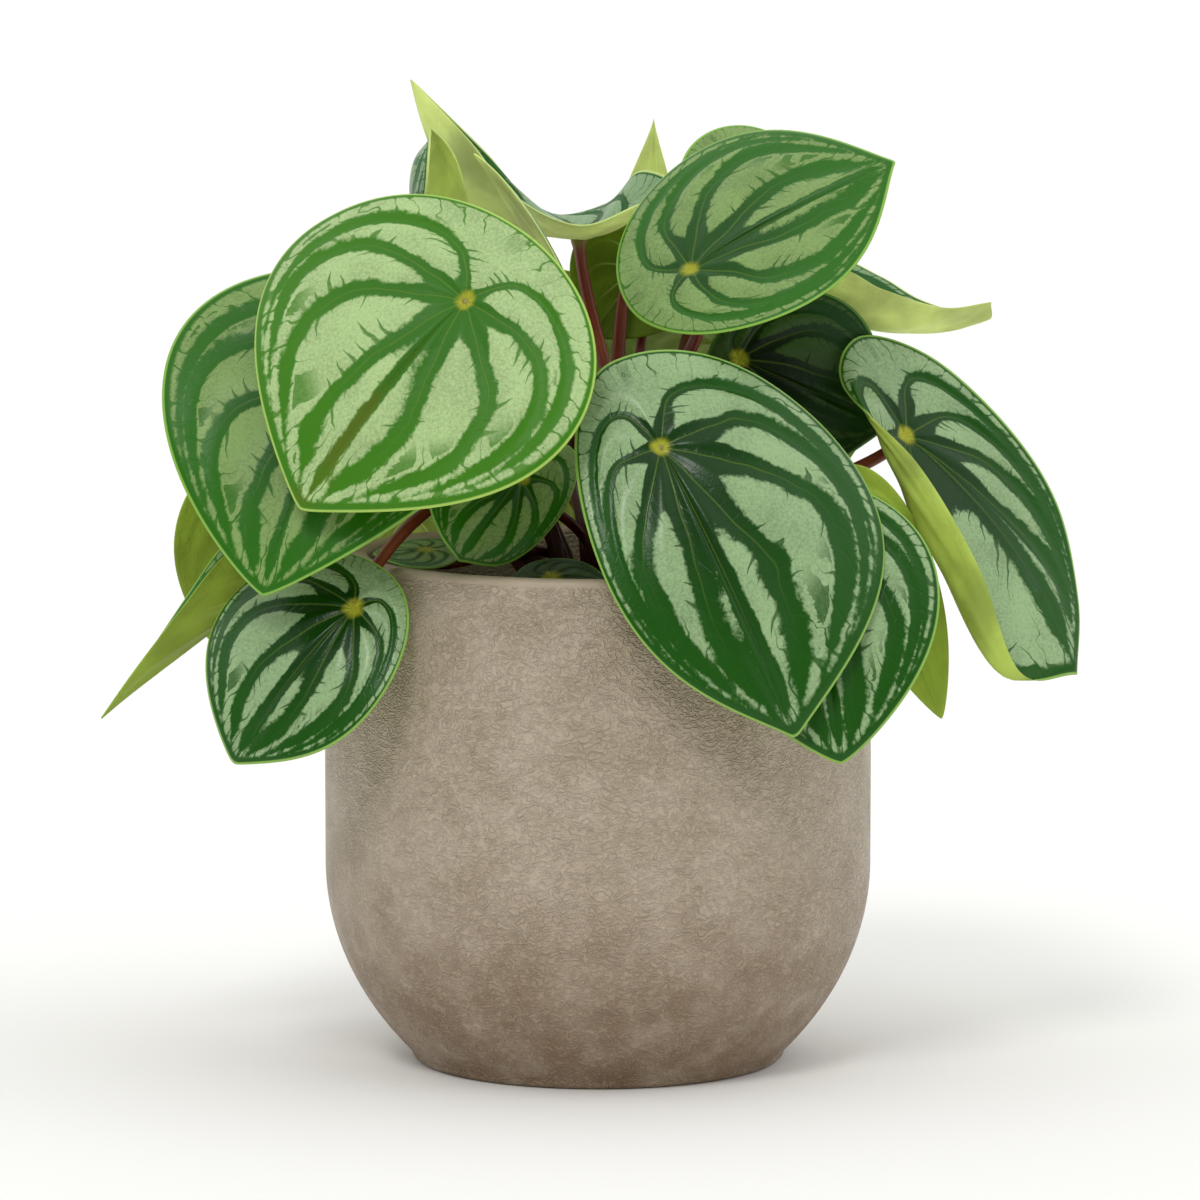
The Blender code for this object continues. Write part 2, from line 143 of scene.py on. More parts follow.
# Blades that are plain shields, in millimetres and degrees. heart is where the stalk meets the blade,
# tip is the point, and face is roughly the way the upper side looks. back is the length behind the
# heart; left and right are the half widths; widest and point shape the outline. droop bends the blade
# down along its length, and cup bends its left and right halves down (or up, below zero).
SHIELDS = {
    "front_left": dict(heart=(-34, -58, 207), tip=(-76, -66, 154), face=(-3, -9, 3), back=24, left=56,
                       right=46, droop=30, cup=(32, 12), widest=0.42, point=0.5),
    "left": dict(heart=(-65, -38, 183), tip=(-86, -60, 131), face=(-4, -8, 2), back=38, left=50,
                 right=41, droop=30, cup=(-15, 30), widest=0.38, point=0.1),
    "low_left": dict(heart=(-63, -52, 127), tip=(-94, -55, 87), face=(-3, -9, 4), back=13, left=36,
                     right=23, droop=35, cup=(38, 5), widest=0.52, point=0.75),
    "top_right": dict(heart=(24, -30, 213), tip=(77, -22, 240), face=(0, -6, 8), back=19, left=31,
                      right=40, droop=12, cup=(2, 14), widest=0.54, point=0.9),
    "front_right": dict(heart=(16, -64, 170), tip=(50, -84, 98), face=(1, -9, 3), back=27, left=28,
                        right=49, droop=30, cup=(5, 34), widest=0.57, point=0.88),
    "low_right": dict(heart=(52, -57.5, 148), tip=(62, -77, 90), face=(1, -9, 2), back=13, left=32,
                      right=33, droop=25, widest=0.4, point=0.22),
    "shaded_right": dict(heart=(37, -4, 187), tip=(77, -1, 169), face=(1, -9, 0.5), back=8, left=25,
                         right=25, droop=20, cup=(10, 0), widest=0.5, point=0.8),
    "back_left": dict(heart=(-91, 18, 147), tip=(-104, 22, 109), face=(-3, 8, -1), back=16, left=20,
                      right=20, droop=10),
    "strip": dict(heart=(-10, -26, 212), tip=(-32, -21, 242), face=(8, 2, 6), back=12, left=14,
                  right=14, droop=20),
    "spike": dict(heart=(15, 42, 209), tip=(15, 40, 248), face=(0, 9, 2), back=12, left=11, right=7,
                  droop=10, widest=0.3, point=0.3),
    "back_top": dict(heart=(38, 12, 236), tip=(53, 5, 218), face=(0, -5, 8), back=14, left=19,
                     right=19, droop=15),
    "behind_low_right": dict(heart=(70, -37, 145), tip=(89, -44, 97), face=(-2, 9, 1), back=18,
                             left=13, right=10, droop=20),
    "rim_small": dict(heart=(-45, -18, 138), tip=(-59, -18, 137), face=(0, -2, 9), back=10, left=12,
                      right=12, droop=5),
    "centre_shaded": dict(heart=(11, 22, 209), tip=(-2, 18, 191), face=(2, 9, -1), back=13, left=18,
                          right=18, droop=15),
    "inner_low": dict(heart=(-12, -39, 133), tip=(4, -44, 130), face=(0, -5, 8), back=10, left=12,
                      right=10, droop=15),
    "back_1": dict(heart=(-20, 62, 196), tip=(-30, 102, 150), face=(-1, 8, 6), back=20, left=36,
                   right=36, droop=25),
    "back_2": dict(heart=(36, 58, 186), tip=(58, 92, 140), face=(4, 8, 5), back=20, left=34,
                   right=32, droop=25),
    "back_3": dict(heart=(-62, 40, 180), tip=(-92, 68, 140), face=(-6, 6, 5), back=18, left=32,
                   right=32, droop=25),
    "back_4": dict(heart=(-8, 74, 150), tip=(-6, 100, 98), face=(0, 9, 3), back=20, left=27,
                   right=34, droop=25),
    "back_5": dict(heart=(48, 62, 150), tip=(60, 92, 105), face=(3, 9, 3), back=18, left=30,
                   right=25, droop=25),
    "back_6": dict(heart=(-52, 66, 140), tip=(-74, 88, 94), face=(-4, 8, 3), back=18, left=30,
                   right=30, droop=25),
}
SHIELD_DEFAULTS = dict(widest=0.42, point=0.35, cup=(10, 10))

# Blades that are folded or rolled, in millimetres. rim goes once round the edge from the tip, down the
# right side, past the back lobe and up the left side. mid holds the points half way from the heart.
# hollow is listed for one blade, and nothing reads it.
FOLDED = {
    "right": dict(
        heart=(81, -15, 168),
        rim=((125, -32, 107), (126, -20, 125), (121, -8, 149), (108, 0, 169), (88, 2, 187),
             (69, -5, 193), (64, -16, 181), (83, -36, 162), (98, -48, 137), (109, -44, 109)),
        mid=((105, -22, 144), (107, -17, 146), (102, -10, 158), (95, -6, 168), (85, -5, 178),
             (76, -9, 181), (71, -16, 178), (77, -30, 160), (86, -38, 141), (99, -42, 119))),
    "crest": dict(
        heart=(-5, 8, 219),
        rim=((-49, 3, 260), (-34, -6, 245), (-21, -13, 230), (-5, -14, 223), (9, -3, 227),
             (20, 10, 232), (11, 20, 235), (2, 26, 226), (-15, 22, 224), (-29, 8, 240)),
        mid=((-32, 6, 226), (-24, -1, 227), (-14, -3, 223), (-5, -4, 220), (3, 0, 221),
             (8, 9, 223), (4, 15, 224), (-2, 17, 222), (-10, 15, 222), (-23, 9, 228))),
    "hood": dict(
        heart=(-42, 0, 223), hollow=1.2,
        rim=((-44, -15, 249), (-39, -16, 244), (-36, -16, 238), (-34, -14, 229), (-34, -8, 219),
             (-40, 0, 209), (-48, -8, 213), (-48, -20, 222), (-45, -26, 231), (-44, -24, 242)),
        mid=((-41, -4, 238), (-39, -6, 236), (-38, -6, 231), (-37, -5, 226), (-37, -3, 220),
             (-41, 0, 217), (-46, -2, 218), (-49, -8, 223), (-49, -10, 228), (-48, -9, 238))),
    "curled_right": dict(
        heart=(54, 17, 201),
        rim=((104, 8, 201), (103, 15, 196), (87, 26, 200), (76, 32, 206), (61, 32, 212),
             (44, 22, 207), (49, 7, 200), (63, 0, 210), (75, 0, 205), (91, 3, 200)),
        mid=((81, 14, 193), (78, 20, 193), (70, 24, 198), (64, 26, 203), (56, 25, 205),
             (50, 20, 204), (51, 14, 201), (57, 8, 202), (65, 7, 198), (75, 9, 194))),
    "drooping_left": dict(
        heart=(-89, -8, 127),
        rim=((-131, -14, 93), (-122, -20, 106), (-110, -26, 122), (-98, -26, 137), (-88, -20, 142),
             (-81, -8, 138), (-88, 6, 146), (-100, 8, 136), (-110, 6, 122), (-121, -2, 106)),
        mid=((-111, -9, 109), (-107, -14, 114), (-101, -18, 122), (-94, -18, 129), (-88, -14, 133),
             (-85, -8, 133), (-88, 0, 134), (-94, 1, 129), (-102, 0, 121), (-107, -5, 113))),
    "centre_small": dict(
        heart=(-20, -34, 159),
        rim=((-36, -44, 138), (-25, -45, 137), (-15, -43, 143), (-7, -38, 154), (-6, -30, 165),
             (-18, -26, 170), (-31, -26, 170), (-41, -30, 164), (-44, -36, 154), (-41, -42, 145)),
        mid=((-28, -41, 149), (-22, -42, 148), (-17, -41, 151), (-13, -38, 156), (-13, -33, 162),
             (-19, -31, 165), (-25, -31, 165), (-31, -34, 162), (-32, -37, 157), (-31, -40, 152))),
}

YOUNG_LEAVES = ("rim_small", "inner_low", "centre_small", "hood", "strip", "spike")

# A stalk bows this far sideways, in millimetres, where a straight run would meet a neighbour.
BOWS = {
    "front_left": (6, 8, 10),
    "left": (-10, 4, -8),
    "low_left": (3, 8, 32),
    "top_right": (4, -9, 0),
    "back_left": (0, 14, 6),
    "strip": (0, -6, -2),
    "crest": (2, 2, 0),
    "centre_shaded": (-2, 10, 0),
    "curled_right": (0, 8, 0),
    "drooping_left": (-12, 16, 26),
    "rim_small": (0, -9, 4),
    "low_right": (0, -3, 0),
    "back_6": (-10, -2, 28),
}

# Stalks that start elsewhere on the crown than on their leaf's own side, in millimetres.
CROSSING_SEATS = {
    "top_right": (-14, -4),
}

# Other colours: stalks at the foot, darker there partly as painted shade deep in the crown, along their
# run, in patches and at the leaf; the pot's pale and taupe glaze, its brown foot, a lighter colour on its
# ridges as painted highlight and a darker one in its hollows as painted shade; then dry and wet parts of
# the earth, bark and crown
STALK_SHADES = ("3c0f0a", "7c2b14", "8a4a20", "7f7a2c")
POT_SHADES = ("baab97", "ad9d86", "80664a", "bfb2a0", "76685a")
EARTH_SHADES = ("3a2a1e", "150d09")
BARK_SHADES = ("5a4330", "2a1c12")
CROWN_SHADES = ("4a2a1a", "241008")

# Wrinkles of the glaze: noise scale for each metre, waves in it, warp in metres, and how flat they lie
WRINKLE_SCALE = 380.0
WRINKLE_WAVES = 30.0
WRINKLE_WARP = 0.003
WRINKLE_FLATNESS = 1.7

# Studio
FLOOR_COLOUR = (0.915, 0.911, 0.901, 1.0)
ROOM_DARK = (0.38, 0.38, 0.37, 1.0)
ROOM_BRIGHT = (1.0, 1.0, 0.99, 1.0)


def shade(code):
    """Linear colour of a six-digit web colour code."""
    parts = [int(code[place:place + 2], 16) / 255.0 for place in (0, 2, 4)]
    return (*(p / 12.92 if p <= 0.04045 else ((p + 0.055) / 1.055) ** 2.4 for p in parts), 1.0)


# Leaf finishes. silver is the colour of the bands, dark and fresh those between them near the heart and
# near the margin, and under that of the lower side. tan is the strength of the brown by the midrib, and
# glow the strength of a painted glow of the lower side, emission that stands in for light shining through.
# opening is how far from the heart the silver starts, and band half the width of a dark band, as shares of
# the leaf's radius. Two finishes are lit and shaded copies: one painted lighter as painted light, one
# painted darker as painted shade.
FINISHES = {
    # Colours painted lighter, as painted light, for the front leaf in full light.
    "painted_sunlit": dict(silver="b0cd8c", dark="2f6c0c", fresh="3a7a04", under="b4cc48", edge="a8cc60",
                   rough=0.38, opening=0.0, band=0.038, tan=0.4),
    "fresh": dict(silver="84a45e", dark="164a04", fresh="266804", under="9cb83c", edge="88b84c",
                  rough=0.3, opening=0.05, band=0.045),
    "glossy": dict(silver="96b482", dark="0a3602", fresh="165002", under="b4cc58", edge="8cb854",
                   rough=0.18, opening=0.14, band=0.045),
    # Colours painted darker, as painted shade, for leaves that stand in the shade inside the plant.
    "painted_shade": dict(silver="3c5c26", dark="041c02", fresh="0e3e02", under="74901c", edge="4f7c2c",
                 rough=0.34, opening=0.04, band=0.045),
    # The lower side glows by emission: a painted glow that stands in for light shining through.
    "pale": dict(silver="8fae82", dark="123c14", fresh="226020", under="d4e684", edge="c4d884",
                 rough=0.3, opening=0.0, band=0.04, glow=0.16),
}
FINISH_DEFAULTS = dict(tan=0.0, glow=0.0)
TAN_SHADE = "6e5a14"
VEIN_SHADE = "7c9c34"
HEART_SHADE = "a5a829"
UNDER_VEIN_SHADE = "c5d58c"
BLACK = (0.0, 0.0, 0.0, 1.0)
LEAF_FINISH = {
    "front_left": "painted_sunlit", "left": "fresh", "low_left": "glossy", "top_right": "fresh",
    "front_right": "glossy", "low_right": "glossy", "right": "glossy", "shaded_right": "painted_shade",
    "centre_small": "fresh", "crest": "pale", "hood": "pale", "strip": "pale", "spike": "pale",
    "curled_right": "pale", "drooping_left": "fresh", "centre_shaded": "painted_shade", "inner_low": "painted_shade",
    "rim_small": "fresh",
}


def darker(code, share):
    """A share of a colour's light."""
    return (*(share * part for part in shade(code)[:3]), 1.0)


def unit(vectors):
    """The vectors along the last axis at length one."""
    return vectors / np.linalg.norm(vectors, axis=-1, keepdims=True)


def shield_axes(leaf):
    """Directions along, across and up from the heart of a shield blade, and its length to the tip."""
    chord = np.array(leaf["tip"], float) - np.array(leaf["heart"], float)
    span = np.linalg.norm(chord)
    forward = chord / span
    face = np.array(leaf["face"], float)
    up = unit(face - np.dot(face, forward) * forward)
    across = np.cross(up, forward)
    half = math.radians(leaf["droop"]) / 2.0
    along = math.cos(half) * forward + math.sin(half) * up
    normal = math.cos(half) * up - math.sin(half) * forward
    return along, across, normal, span * half / math.sin(half)


def arc(bend, distance):
    """Run and drop of points that lie at distances along an arc with this bend for each unit."""
    turn = np.where(np.abs(bend) < 1e-6, 1e-6, bend)
    return np.sin(turn * distance) / turn, (np.cos(turn * distance) - 1.0) / turn


def shield_surface(leaf, share, angle):
    """Points of a plain blade's upper face at shares of the way from the heart to the edge."""
    along, across, normal, length = shield_axes(leaf)
    forward = (1.0 + np.cos(angle)) / 2.0
    side = np.where(np.sin(angle) >= 0.0, 1.0, -1.0)
    width = np.where(side > 0.0, leaf["right"], leaf["left"])
    cup = np.radians(np.where(side > 0.0, leaf["cup"][1], leaf["cup"][0]))
    widest = leaf["widest"]
    taper = 0.5 * (1.0 - widest) / widest
    swell = np.sqrt(forward / widest) * (np.maximum(1.0 - forward, 0.0) / (1.0 - widest)) ** taper
    pinch = (1.0 - leaf["point"] * forward ** 6) / (1.0 - leaf["point"] * widest ** 6)
    x = share * (-leaf["back"] + (length + leaf["back"]) * forward)
    y = share * side * width * swell * pinch
    sideways, drop = arc(cup / width, np.abs(y))
    bend = np.where(x >= 0.0, math.radians(leaf["droop"]) / length, 0.0)
    run, sag = arc(bend, x)
    turn = bend * x
    run = run + drop * np.sin(turn)
    sag = sag + drop * np.cos(turn)
    sideways = side * sideways
    return (np.array(leaf["heart"], float) + run[..., None] * along + sideways[..., None] * across
            + sag[..., None] * normal)


def loop_curve(points, angle):
    """Points on a smooth curve through the points, which starts and ends at the first of them."""
    knots = np.array([*points, points[0]], float)
    slopes = np.gradient(knots, axis=0)
    place = (angle / (2.0 * math.pi)) * len(points)
    first = np.minimum(place.astype(int), len(points) - 1)
    f = (place - first)[..., None]
    return (knots[first] * (1.0 + 2.0 * f) * (1.0 - f) ** 2 + slopes[first] * f * (1.0 - f) ** 2
            + knots[first + 1] * f * f * (3.0 - 2.0 * f) - slopes[first + 1] * f * f * (1.0 - f))


def folded_surface(leaf, share, angle):
    """Points of a folded blade's upper face, which leaves the heart flat and runs by mid to rim."""
    heart = np.array(leaf["heart"], float)
    spread = 4.0 * (np.array(leaf["mid"]) - heart) - (np.array(leaf["rim"]) - heart)
    normal = unit(np.cross(spread, np.roll(spread, -1, axis=0)).sum(axis=0))
    middle = loop_curve(leaf["mid"], angle) - heart
    edge = loop_curve(leaf["rim"], angle) - heart
    slope = 4.0 * middle - edge
    slope = slope - (slope @ normal)[..., None] * normal
    curl = 8.0 * middle - edge - 3.0 * slope
    share = share[..., None]
    return heart + share * slope + share ** 2 * curl + share ** 3 * (edge - slope - curl)


def blade_surface(leaf, share, angle):
    """Points of a blade's upper face in millimetres, for arrays of shares and angles."""
    if "rim" in leaf:
        return folded_surface(leaf, share, angle)
    return shield_surface(leaf, share, angle)


def heart_normal(leaf):
    """The way the upper face looks at the heart."""
    tip, right, back, left = blade_surface(leaf, np.full(4, 0.15), np.arange(4) * math.pi / 2.0)
    return unit(np.cross(left - right, tip - back))


def vein_phase(share, angle):
    """Counts the veins: 0 on the midrib and one more at each vein further round, on both sides."""
    turn = 1.0 - np.abs(angle / math.pi - 1.0)
    return VEINS * turn / (1.0 - VEIN_BEND * share ** VEIN_BEND_POWER)


def quilting(share, angle):
    """How far the blade bulges between its veins, in millimetres."""
    phase = vein_phase(share, angle)
    bulge = 0.5 - 0.5 * np.cos(2.0 * math.pi * phase)
    strength = np.clip(share / 0.3, 0.0, 1.0) * np.clip((1.0 - share) / 0.25, 0.0, 1.0)
    funnel = np.exp(-(share / 0.09) ** 2)
    return QUILTING * strength * np.where(phase < LAST_VEIN + 0.5, bulge, 1.0) - HEART_DIMPLE * funnel


def surface_normals(heart, points):
    """Normals of a polar grid of points round a heart, whose rings are the first axis."""
    around = np.roll(points, -1, axis=1) - np.roll(points, 1, axis=1)
    outwards = np.gradient(np.concatenate([heart + 0.0 * points[:1], points]), axis=0)[1:]
    return unit(np.cross(outwards, around))


def vein_spacing(points, share, angle):
    """Millimetres for each unit of the vein count, at each point of a polar grid."""
    outwards = np.gradient(points, axis=0)
    around = (np.roll(points, -1, axis=1) - np.roll(points, 1, axis=1)) / 2.0
    count_outwards = np.gradient(vein_phase(share, angle), axis=0)
    bend = 1.0 - VEIN_BEND * share ** VEIN_BEND_POWER
    count_around = np.where(angle < math.pi, 2.0, -2.0) * VEINS / BLADE_SPOKES / bend
    long = (outwards ** 2).sum(axis=-1)
    skew = (outwards * around).sum(axis=-1)
    wide = (around ** 2).sum(axis=-1)
    area = np.maximum(long * wide - skew ** 2, 1e-6)
    slope = (wide * count_outwards ** 2 - 2.0 * skew * count_outwards * count_around
             + long * count_around ** 2)
    return np.sqrt(area / np.maximum(slope, 1e-9))


def make_blade(name, leaf, material):
    """A fine blade: a polar grid round the heart, quilted between the veins, thinner at its edge."""
    share = np.linspace(0.0, 1.0, BLADE_RINGS + 1)[1:, None] * np.ones((1, BLADE_SPOKES))
    angle = 2.0 * math.pi * np.arange(BLADE_SPOKES)[None, :] / BLADE_SPOKES * np.ones((BLADE_RINGS, 1))
    heart = np.array(leaf["heart"], float)
    points = blade_surface(leaf, share, angle)
    normals = surface_normals(heart, points)
    centre_normal = heart_normal(leaf)
    if np.dot(normals[0].mean(axis=0), centre_normal) < 0.0:
        normals = -normals
    size = np.linalg.norm(points[-1] - heart, axis=-1).mean() / LARGE_LEAF_RADIUS
    top = points + (size * quilting(share, angle))[..., None] * normals
    top_heart = heart + size * quilting(np.array(0.0), np.array(0.0)) * centre_normal
    thickness = BLADE_THICKNESS / MM + (EDGE_THICKNESS - BLADE_THICKNESS) / MM * share ** 4
    bottom = top - thickness[..., None] * normals
    bottom_heart = top_heart - BLADE_THICKNESS / MM * centre_normal
    rim = (top[-1] + bottom[-1]) / 2.0 + 0.2 * unit(top[-1] - top[-2])
    corners = [top_heart[None], top.reshape(-1, 3), rim, bottom.reshape(-1, 3), bottom_heart[None]]
    rim_start = 1 + BLADE_RINGS * BLADE_SPOKES
    rings = [1 + ring * BLADE_SPOKES for ring in range(BLADE_RINGS)]
    rings.append(rim_start)
    rings += [rim_start + BLADE_SPOKES * (1 + ring) for ring in reversed(range(BLADE_RINGS))]
    last = rings[-1]
    centre_below = rim_start + BLADE_SPOKES * (1 + BLADE_RINGS)
    faces = []
    for spoke in range(BLADE_SPOKES):
        after = (spoke + 1) % BLADE_SPOKES
        faces.append((0, 1 + spoke, 1 + after))
        for inner, outer in zip(rings, rings[1:]):
            faces.append((inner + after, inner + spoke, outer + spoke, outer + after))
        faces.append((centre_below, last + after, last + spoke))
    outer_edge = np.linalg.norm(points[-1:] - points, axis=-1)
    out = np.linalg.norm(points - heart, axis=-1)
    turn = 1.0 - np.abs(angle / math.pi - 1.0)
    side = np.sign(np.sin(angle)) * (np.abs(np.sin(angle)) > 1e-6)
    values = {"turn": (0.5, turn), "reach": (0.0, share), "side": (0.0, side), "inset": (20.0, outer_edge),
              "outward": (0.0, out), "spacing": (0.0, vein_spacing(points, share, angle)),
              "under": (0.0, 0.0 * share)}
    mesh = bpy.data.meshes.new(name)
    mesh.from_pydata((np.concatenate(corners) * MM).tolist(), [], faces)
    for key, (centre, grid) in values.items():
        flat = np.concatenate([[centre], grid.reshape(-1), grid[-1], grid.reshape(-1), [centre]])
        if key == "under":
            flat[rim_start + BLADE_SPOKES:] = 1.0
            flat[rim_start:rim_start + BLADE_SPOKES] = 0.5
        mesh.attributes.new(key, "FLOAT", "POINT").data.foreach_set("value", flat)
    mesh.shade_smooth()
    mesh.materials.append(material)
    blade = bpy.data.objects.new(name, mesh)
    bpy.context.collection.objects.link(blade)
    return blade


def crown_height(radius):
    """Height of the crown's surface at a radius."""
    return SOIL_LEVEL + SOIL_MOUND + GAP + CROWN_HEIGHT * math.sqrt(1.0 - (radius / CROWN_RADIUS) ** 2)


def crown_seats(count):
    """Places on the crown, spread like the seeds of a sunflower."""
    seats = []
    for index in range(count):
        radius = SEAT_RADIUS * math.sqrt((index + 0.5) / count)
        angle = GOLDEN_ANGLE * index
        seats.append(Vector((radius * math.cos(angle), radius * math.sin(angle), crown_height(radius))))
    return seats


def assign_seats(leaves):
    """Give each stalk, the furthest leaf first, the free seat nearest to the way it leans."""
    free = crown_seats(len(leaves))
    chosen = {}
    for name in sorted(leaves, key=lambda key: -math.hypot(*leaves[key]["heart"][:2])):
        heart = Vector(leaves[name]["heart"][:2]) * MM
        wish = heart * (SEAT_RADIUS / max(heart.length, POT_BELLY_RADIUS))
        if name in CROSSING_SEATS:
            wish = Vector(CROSSING_SEATS[name]) * MM
        seat = min(free, key=lambda place: (place.xy - wish).length)
        free.remove(seat)
        chosen[name] = seat
    return chosen


def tube(name, points, radii, material):
    """A closed round tube along the points, with the attribute along from 0 to 1."""
    points = np.array(points)
    heading = unit(np.gradient(points, axis=0))
    across = unit(np.cross(heading[0], (0.31, 0.87, 0.21)))
    corners = [points[0]]
    along = [0.0]
    for step, (point, forward, radius) in enumerate(zip(points, heading, radii)):
        across = unit(across - np.dot(across, forward) * forward)
        other = np.cross(forward, across)
        for side in range(STALK_SIDES):
            angle = 2.0 * math.pi * side / STALK_SIDES
            corners.append(point + radius * (math.cos(angle) * across + math.sin(angle) * other))
            along.append(step / (len(points) - 1))
    corners.append(points[-1])
    along.append(1.0)
    faces = []
    last = 1 + (len(points) - 1) * STALK_SIDES
    for side in range(STALK_SIDES):
        after = (side + 1) % STALK_SIDES
        faces.append((0, 1 + after, 1 + side))
        for step in range(len(points) - 1):
            low = 1 + step * STALK_SIDES
            high = low + STALK_SIDES
            faces.append((low + side, low + after, high + after, high + side))
        faces.append((last + side, last + after, len(corners) - 1))
    mesh = bpy.data.meshes.new(name)
    mesh.from_pydata(corners, [], faces)
    mesh.attributes.new("along", "FLOAT", "POINT").data.foreach_set("value", along)
    mesh.shade_smooth()
    mesh.materials.append(material)
    piece = bpy.data.objects.new(name, mesh)
    bpy.context.collection.objects.link(piece)
    return piece


def crown_normal(seat):
    """The way the crown's surface looks at a seat."""
    rise = seat.z - crown_height(CROWN_RADIUS)
    flatness = (CROWN_RADIUS / CROWN_HEIGHT) ** 2
    return Vector((seat.x, seat.y, rise * flatness)).normalized()


def make_stalk(name, leaf, seat, bow, size, material):
    """A round stalk that leaves the crown upright, meets the blade from below and flares at both ends."""
    outward = crown_normal(seat)
    below = Vector(heart_normal(leaf)) * -1.0
    underside = Vector(leaf["heart"]) * MM + below * BLADE_THICKNESS
    reach = (underside - seat).length
    sideways = Vector(bow) * MM
    departure = outward * (0.4 * reach) + sideways
    approach = below * (0.3 * reach) + sideways
    start = seat
    end = underside + below * (0.9 * MM)
    t = np.linspace(0.0, 1.0, STALK_STEPS)
    handles = [np.array(point) for point in (start, start + departure, end + approach, end)]
    points = sum(weight[:, None] * handle for weight, handle in zip(
        ((1 - t) ** 3, 3 * t * (1 - t) ** 2, 3 * t * t * (1 - t), t ** 3), handles))
    points = np.concatenate([points, [np.array(end - below * (0.9 * MM))]])
    t = np.append(t, 1.0)
    radii = size * (STALK_BASE_RADIUS + (STALK_TIP_RADIUS - STALK_BASE_RADIUS) * t)
    radii = radii * (1.0 + 0.3 * np.exp(-t / 0.05) + 0.5 * np.exp((t - 1.0) / 0.02))
    return tube(name, points, radii, material)


def make_pot(material):
    """The pot: a disc at the foot, extruded ring by ring up the outside and down the inside."""
    heights = [POT_FOOT_ROUND + (POT_CURVE_TOP - POT_FOOT_ROUND) * step / POT_CURVE_STEPS
               for step in range(POT_CURVE_STEPS + 1)]
    lip_base = POT_HEIGHT - POT_LIP_ROUND
    heights += [POT_CURVE_TOP + (lip_base - POT_CURVE_TOP) * step / POT_SHOULDER_STEPS
                for step in range(1, POT_SHOULDER_STEPS + 1)]
    quarter = [0.5 * math.pi * step / ROUND_STEPS for step in range(ROUND_STEPS + 1)]
    foot = pot_radius(POT_FOOT_ROUND)
    rings = [(foot - POT_FOOT_ROUND * (1.0 - math.sin(a)), POT_FOOT_ROUND * (1.0 - math.cos(a)))
             for a in quarter[:-1]]
    rings += [(pot_radius(height), height) for height in heights]
    lip = pot_radius(lip_base)
    rings += [(lip - POT_LIP_ROUND * (1.0 - math.cos(a)), lip_base + POT_LIP_ROUND * math.sin(a))
              for a in quarter[1:]]
    inner = lip - POT_WALL
    rings += [(inner + POT_LIP_ROUND * (1.0 - math.sin(a)), lip_base + POT_LIP_ROUND * math.cos(a))
              for a in quarter]
    rings += [(pot_radius(height) - POT_WALL, height) for height in reversed(heights[:-1])
              if height > POT_FLOOR + POT_WALL]
    rings.append((pot_radius(POT_FLOOR) - POT_WALL, POT_FLOOR))
    bpy.ops.object.select_all(action="DESELECT")
    radius, height = rings[0]
    bpy.ops.mesh.primitive_circle_add(vertices=POT_SEGMENTS, radius=radius, fill_type="NGON")
    pot = bpy.context.object
    pot.name = pot.data.name = "glazed_pot"
    bpy.ops.object.mode_set(mode="EDIT")
    bpy.ops.mesh.select_all(action="SELECT")
    for next_radius, next_height in rings[1:]:
        bpy.ops.mesh.extrude_region_move(
            TRANSFORM_OT_translate={"value": (0.0, 0.0, next_height - height)})
        growth = next_radius / radius
        bpy.ops.transform.resize(value=(growth, growth, 1.0), center_override=(0.0, 0.0, next_height))
        radius, height = next_radius, next_height
    bpy.ops.mesh.select_all(action="SELECT")
    bpy.ops.mesh.normals_make_consistent(inside=False)
    bpy.ops.object.mode_set(mode="OBJECT")
    bpy.ops.object.shade_smooth_by_angle(angle=math.radians(50.0))
    pot.data.materials.append(material)
    return pot


def pot_radius(height):
    """Outer radius of the pot at a height."""
    if height < POT_CURVE_TOP:
        rise = (POT_CURVE_TOP - height) / POT_CURVE_HEIGHT
        return POT_BELLY_RADIUS - POT_CURVE_WIDTH * (1.0 - math.sqrt(1.0 - rise * rise))
    if height > POT_SHOULDER:
        lean = (height - POT_SHOULDER) / (POT_HEIGHT - POT_SHOULDER)
        return POT_BELLY_RADIUS - POT_LIP_INSET * lean * lean
    return POT_BELLY_RADIUS


def soil_height(x, y):
    """Height of the lumpy soil at a place, in metres."""
    slope = SOIL_MOUND * (1.0 - math.hypot(x, y) / POT_BELLY_RADIUS)
    lumps = noise.fractal(Vector((x, y, 0.0)) / LUMP_SIZE, 0.9, 2.1, 4)
    return SOIL_LEVEL + slope + LUMP_HEIGHT * lumps


def make_soil(material):
    """The soil's lumpy top on a plain drum that reaches down inside the pot."""
    radius = pot_radius(SOIL_LEVEL) - POT_WALL - GAP
    corners = [(0.0, 0.0, soil_height(0.0, 0.0))]
    for ring in range(1, SOIL_RINGS + 1):
        for step in range(SOIL_SEGMENTS):
            angle = 2.0 * math.pi * step / SOIL_SEGMENTS
            x = radius * ring / SOIL_RINGS * math.cos(angle)
            y = radius * ring / SOIL_RINGS * math.sin(angle)
            corners.append((x, y, soil_height(x, y)))
    bottom = SOIL_LEVEL - SOIL_DEPTH
    corners += [(x, y, bottom) for x, y, _ in corners[-SOIL_SEGMENTS:]]
    corners.append((0.0, 0.0, bottom))
    faces = []
    last = 1 + SOIL_RINGS * SOIL_SEGMENTS
    for step in range(SOIL_SEGMENTS):
        after = (step + 1) % SOIL_SEGMENTS
        faces.append((0, 1 + step, 1 + after))
        for ring in range(SOIL_RINGS):
            inner = 1 + ring * SOIL_SEGMENTS
            outer = inner + SOIL_SEGMENTS
            faces.append((inner + after, inner + step, outer + step, outer + after))
        faces.append((len(corners) - 1, last + after, last + step))
    mesh = bpy.data.meshes.new("potting_mix")
    mesh.from_pydata(corners, [], faces)
    mesh.shade_smooth()
    mesh.materials.append(material)
    soil = bpy.data.objects.new("potting_mix", mesh)
    bpy.context.collection.objects.link(soil)
    return soil


